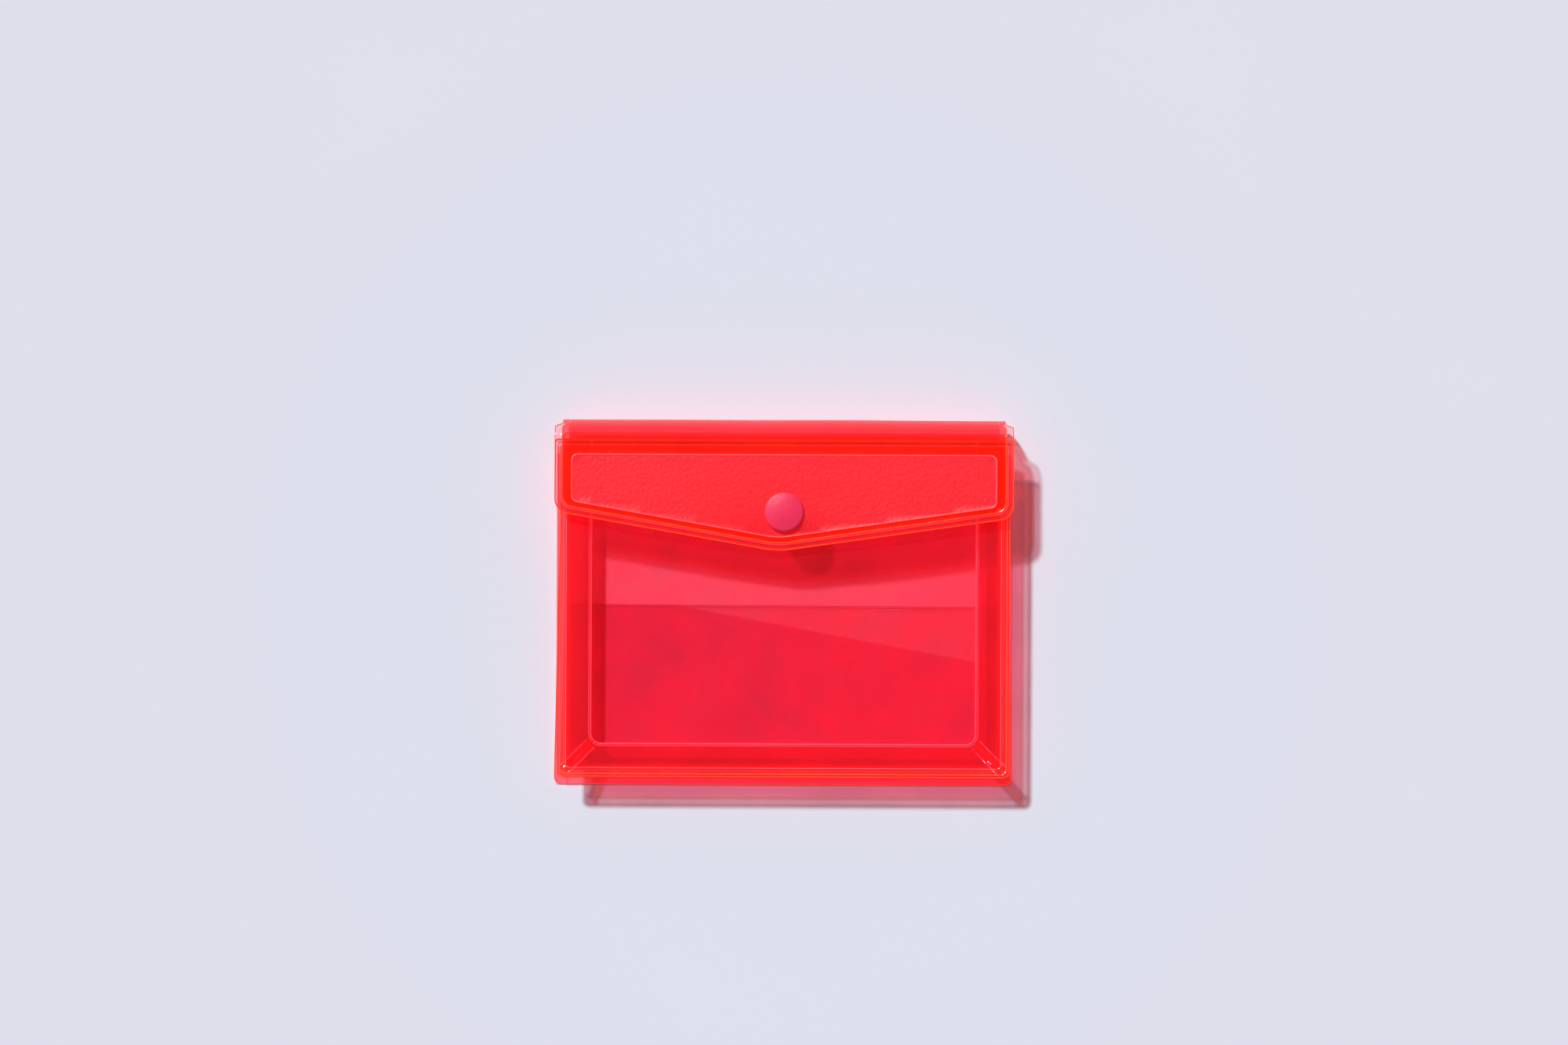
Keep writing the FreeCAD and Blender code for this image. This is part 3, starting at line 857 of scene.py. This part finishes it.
def make_gusset():
    """Three strips, each with a margin on the back, two leaves and a margin on the front."""
    side_ends = (BOTTOM_HINGE_Y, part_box("left_gusset_lower_leaf")[1].y)
    bottom_ends = (-LOWER_HINGE.x, LOWER_HINGE.x)
    sides = (
        ("left", on_left, side_ends, (True, False), 2.0),
        ("right", on_right, side_ends, (True, False), 4.0),
        ("bottom", on_bottom, bottom_ends, (True, True), 6.0),
    )
    for side, place, ends, mitred, seed in sides:
        for level in ("lower", "upper"):
            lower = level == "lower"
            strip = f"{side}_gusset_{level}"
            make_leaf(f"{strip}_leaf_sheet", place, ends, mitred, lower, f"{side}_{level}_leaf", seed + lower)
            low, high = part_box(f"{strip}_flange")
            width = BOTTOM_HINGE_Y - low.y if side == "bottom" else high.x - low.x
            outer = width - 0.15 * MM
            flange_ends = bottom_ends if side == "bottom" else (low.y + 0.3 * MM, high.y)
            make_flange(f"{strip}_flange_sheet", place, flange_ends, f"{strip}_flange", not lower, outer,
                        "back" if lower else "front")


def make_corner_pleat(side):
    """Welded V where a side strip meets the bottom strip, crumpled, with the end of the inner fold."""
    sign = -1 if side == "left" else 1
    corner = Vector((sign * LOWER_HINGE.x, BOTTOM_HINGE_Y, 0))
    inward = Vector((-sign, 1.0, 0))
    across = Vector((sign, 1.0, 0)).normalized()
    proud = 0.42 * MM
    half_gap = 0.3 * MM
    bm = strip_grid(rows=16, columns=60)
    for vert in bm.verts:
        travel = vert.co.x * 2 - 1
        reach = (1 - abs(travel)) * 0.97 + 0.015
        offset = (vert.co.y * 2 - 1) * PLEAT_HALF_WIDTH
        run = LEAF_RUN * reach
        base = corner + inward * run + across * offset
        hip = max(0.0, run - abs(offset) * 0.7) / LEAF_RUN * HALF_RISE
        crumple = 0.34 * MM * wander(run + offset, offset * 1.6, 1.3 * MM, 11 + sign + (travel > 0) * 5)
        bead = 0.16 * MM * hump(abs(offset) - PLEAT_HALF_WIDTH + 0.25 * MM, 0.22 * MM)
        height = hip + crumple * math.sin(math.pi * reach) - bead - proud
        z = LOWER_HINGE.z + height if travel < 0 else UPPER_HINGE.z - height
        if abs(z - INNER_FOLD.z) < half_gap:
            z = INNER_FOLD.z + (half_gap if travel > 0 else -half_gap)
        vert.co = Vector((base.x, base.y, z))
    # The pleat's light edge lines are a painted highlight
    for face in bm.faces:
        offset = abs((face.calc_center_median() - corner).dot(across))
        face.material_index = LINE if offset > PLEAT_HALF_WIDTH - 0.25 * MM else FUSED_BAND_AND_PAINTED_HIGHLIGHT
    face_all(bm, upwards=True)
    pleat = finished(bm, f"{side}_corner_pleat_weld", GUSSET_STRIP, 0.25 * MM)
    crisp_rim(pleat)
    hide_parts(f"{side}_corner_pleat")
    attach(pleat, "back")
    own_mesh(pleat)


# ---------------------------------------------------------------- press snap

def lathed(name, cad_node, profile, body):
    """A moulded snap part, turned about the snap's axis from (radius, z) points."""
    bm = bmesh.new()
    verts = [bm.verts.new((radius, 0, z)) for radius, z in profile]
    edges = [bm.edges.new(pair) for pair in zip(verts, verts[1:])]
    bmesh.ops.spin(bm, geom=verts + edges, cent=Vector(), axis=UP, dvec=Vector(), angle=2 * math.pi,
                   steps=72, use_merge=True, use_duplicate=False)
    bmesh.ops.remove_doubles(bm, verts=bm.verts, dist=1e-6)
    bmesh.ops.recalc_face_normals(bm, faces=bm.faces)
    bmesh.ops.translate(bm, verts=bm.verts, vec=Vector((0, SNAP_Y, 0)))
    part = finished(bm, name, [SNAP_PINK], thickness=0)
    crisp_rim(part, angle=45)
    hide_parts(cad_node)
    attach(part, body)


def dome(radius, low, high, edge, crown):
    """Profile of a disc that is domed by crown and rounded by edge at its shoulder, from rim to middle."""
    edge_steps, crown_steps = 6, 8
    flat = radius - edge
    points = [(radius - 0.12 * MM, low), (radius, low + 0.15 * MM), (radius, high - crown - edge)]
    for i in range(1, edge_steps + 1):
        angle = math.pi / 2 * i / edge_steps
        points.append((flat + edge * math.cos(angle), high - crown - edge + edge * math.sin(angle)))
    for i in range(1, crown_steps):
        share = i / crown_steps
        points.append((flat * (1 - share), high - crown * (1 - share) ** 2))
    points.append((0, high))
    return points


def make_snap():
    """Cap and socket on the flap, stud and back cap on the front sheet."""
    cap = [(0, CAP_LOW.z), (POST_RADIUS, CAP_LOW.z), (POST_RADIUS, FLAP_HIGH.z)]
    cap += dome(CAP_HIGH.x, FLAP_HIGH.z, CAP_HIGH.z, edge=0.75 * MM, crown=0.55 * MM)
    lathed("snap_cap_pink", "snap_cap", cap, "flap")

    low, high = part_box("snap_socket")
    mouth, wall = 2.4 * MM, high.x
    seat, rim_root = high.z - 0.6 * MM, high.z - 0.9 * MM
    socket = [(POST_RADIUS, high.z), (POST_RADIUS, seat), (mouth, seat), (mouth, low.z),
              (mouth + 0.9 * MM, low.z), (mouth + 1.1 * MM, rim_root), (wall - 0.3 * MM, rim_root),
              (wall, high.z - 0.7 * MM), (wall, high.z), (POST_RADIUS, high.z)]
    lathed("snap_socket_pink", "snap_socket", socket, "flap")

    low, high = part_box("snap_stud")
    flange, flange_top = high.x, low.z + 0.7 * MM
    head, neck, tip = 2.0 * MM, 1.8 * MM, 1.5 * MM
    stud = [(POST_RADIUS, low.z), (flange, low.z), (flange, low.z + 0.5 * MM),
            (flange - 0.3 * MM, flange_top), (2.1 * MM, flange_top), (neck, low.z + 1.0 * MM),
            (neck, high.z - 1.0 * MM), (head, high.z - 0.6 * MM), (1.9 * MM, high.z - 0.2 * MM),
            (tip, high.z), (POST_RADIUS, high.z), (POST_RADIUS, low.z)]
    lathed("snap_stud_pink", "snap_stud", stud, "front")

    low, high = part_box("snap_back_cap")
    upright = dome(CAP_HIGH.x, low.z, FRONT_LOW.z, edge=0.4 * MM, crown=0.35 * MM)
    back_cap = [(0, high.z), (POST_RADIUS, high.z), (POST_RADIUS, FRONT_LOW.z)]
    back_cap += [(radius, FRONT_LOW.z + low.z - z) for radius, z in upright]
    lathed("snap_back_cap_pink", "snap_back_cap", back_cap, "front")


# ---------------------------------------------------------------- floor, light and camera

def fill_from_the_sides(tree, overhead, level):
    """Soft fill of the given level from the walls, and of the overhead strength from straight above."""
    place = tree.nodes.new("ShaderNodeTexCoord")
    parts = tree.nodes.new("ShaderNodeSeparateXYZ")
    tree.links.new(place.outputs["Generated"], parts.inputs["Vector"])
    squared = tree.nodes.new("ShaderNodeMath")
    squared.operation = "MULTIPLY"
    tree.links.new(parts.outputs["Z"], squared.inputs[0])
    tree.links.new(parts.outputs["Z"], squared.inputs[1])
    strength = remap(tree, squared.outputs[0], level, overhead, 0.0, 0.75)
    tree.links.new(strength, tree.nodes["Background"].inputs["Strength"])
    tree.nodes["Background"].inputs["Color"].default_value = (0.97, 0.98, 1.0, 1)


def make_table():
    """Pale lavender table top, with a painted pool of cooler light around the case."""
    bm = bmesh.new()
    bmesh.ops.create_grid(bm, x_segments=1, y_segments=1, size=2.5)
    bmesh.ops.translate(bm, verts=bm.verts, vec=Vector((0, 0, -0.05 * MM)))
    paper, tree = new_material("pale_table")
    surface = tree.nodes["Principled BSDF"]
    surface.inputs["Roughness"].default_value = 0.85
    surface.inputs["Specular IOR Level"].default_value = 0.1
    tint = two_tone(tree, object_noise(tree, 9.0, detail=4.0), (0.80, 0.79, 0.90), (0.775, 0.768, 0.88))
    place = tree.nodes.new("ShaderNodeTexCoord")
    from_middle = tree.nodes.new("ShaderNodeVectorMath")
    from_middle.operation = "LENGTH"
    tree.links.new(place.outputs["Object"], from_middle.inputs[0])
    # Painted light: the table turns bluer and less red near the case
    painted_cool_light = tree.nodes.new("ShaderNodeMix")
    painted_cool_light.data_type = "RGBA"
    painted_cool_light.inputs["A"].default_value = (0.745, 0.80, 0.905, 1)
    outwards = remap(tree, from_middle.outputs["Value"], 0.0, 1.0, 0.06, 0.2)
    tree.links.new(outwards, painted_cool_light.inputs["Factor"])
    tree.links.new(tint, painted_cool_light.inputs["B"])
    tree.links.new(painted_cool_light.outputs["Result"], surface.inputs["Base Color"])
    floor = finished(bm, "table_top", [paper], thickness=0)


def light_and_view():
    """Hard sun, side fill, and the camera straight above."""
    scene = bpy.context.scene
    world = bpy.data.worlds.new("studio_fill")
    world.use_nodes = True
    fill_from_the_sides(world.node_tree, overhead=0.015, level=0.27)
    scene.world = world

    key = bpy.data.lights.new("key", "SUN")
    key.energy = 3.5
    key.angle = math.radians(4.2)
    lamp = bpy.data.objects.new("key", key)
    sunlight_travel = Vector((0.52, -0.72, -1.0))
    lamp.rotation_euler = sunlight_travel.to_track_quat("-Z", "Y").to_euler()
    scene.collection.objects.link(lamp)

    camera = bpy.data.cameras.new("camera")
    camera.sensor_width = 36
    camera.lens = 86.05
    camera.clip_start = 0.05
    view = bpy.data.objects.new("camera", camera)
    view.location = (0, 25.75 * MM, 1.2)
    view.rotation_euler = (0, 0, math.radians(0.25))
    scene.collection.objects.link(view)
    scene.camera = view

    scene.view_settings.view_transform = "Standard"
    scene.cycles.transparent_max_bounces = 64
    scene.cycles.max_bounces = 16
    scene.cycles.diffuse_bounces = 4
    scene.cycles.glossy_bounces = 4


make_table()
light_and_view()
make_back_sheet()
make_flap_sheet()
make_flap_lining()
make_front_sheet()
make_slip_pocket()
make_gusset()
for side in ("left", "right"):
    make_corner_pleat(side)
make_snap()

bpy.context.view_layer.update()
